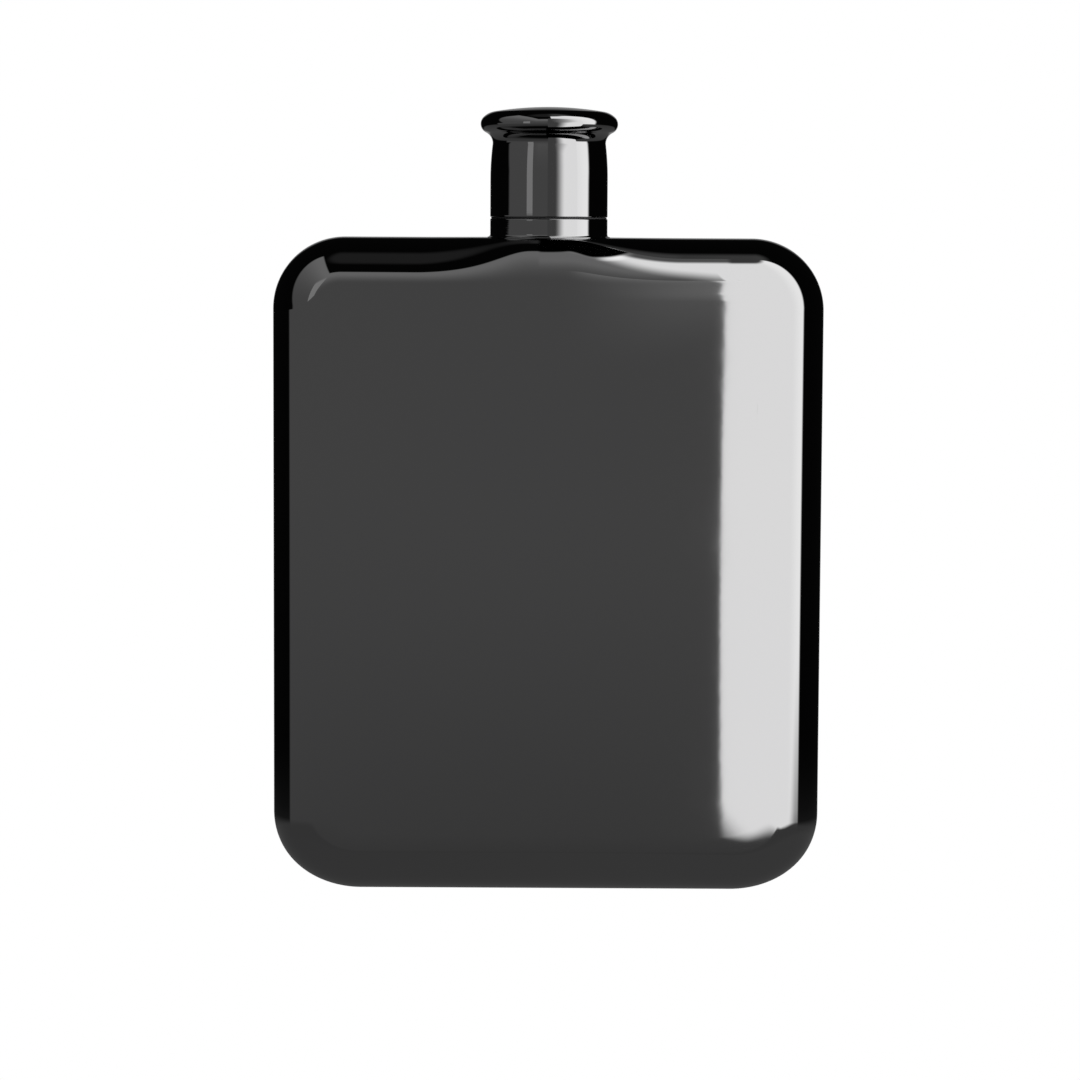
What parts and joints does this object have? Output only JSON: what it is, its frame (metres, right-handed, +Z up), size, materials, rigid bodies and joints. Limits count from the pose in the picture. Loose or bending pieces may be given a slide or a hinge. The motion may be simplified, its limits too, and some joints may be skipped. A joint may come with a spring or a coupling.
{
  "type": "hip flask",
  "caption": "Slim pillow-shaped metal hip flask with rounded corners, a straight neck and a screw cap with a flared, rolled rim.",
  "frame": {"origin": "middle of the flat band that the flask stands on, under the neck's axis", "axes": "+Z up along the neck, +X to the right seen from the front, -Y out of the front face"},
  "size_m": [0.092, 0.026, 0.1309],
  "materials": {
    "gunmetal_body": "mirror-polished dark plating on drawn stainless steel",
    "gunmetal_turned": "mirror-polished dark plating on turned stainless steel",
    "weld_steel": "as welded",
    "liner_plastic": "moulded",
    "seal_silicone": "matt silicone"
  },
  "bodies": {
    "flask": {"front_shell": "gunmetal_body", "back_shell": "gunmetal_body", "seam_weld": "weld_steel", "neck_tube": "gunmetal_turned", "neck_weld": "weld_steel", "neck_collar": "gunmetal_turned"},
    "seal": {"cap_gasket": "seal_silicone"},
    "cap": {"cap_shell": "gunmetal_turned", "cap_insert": "liner_plastic"}
  },
  "joints": [
    {"name": "cap_lift", "type": "slide", "parent": "flask", "child": "seal", "axis": [0, 0, 1], "range_m": [0, 0.012]},
    {"name": "cap_turn", "type": "hinge", "parent": "seal", "child": "cap", "pos_m": [0, 0, 0.12], "axis": [0, 0, 1], "range_deg": [0, 1440]}
  ],
  "couplings": [
    {"joint": "cap_lift", "follows": "cap_turn", "m_per_rad": 0.00047746}
  ]
}
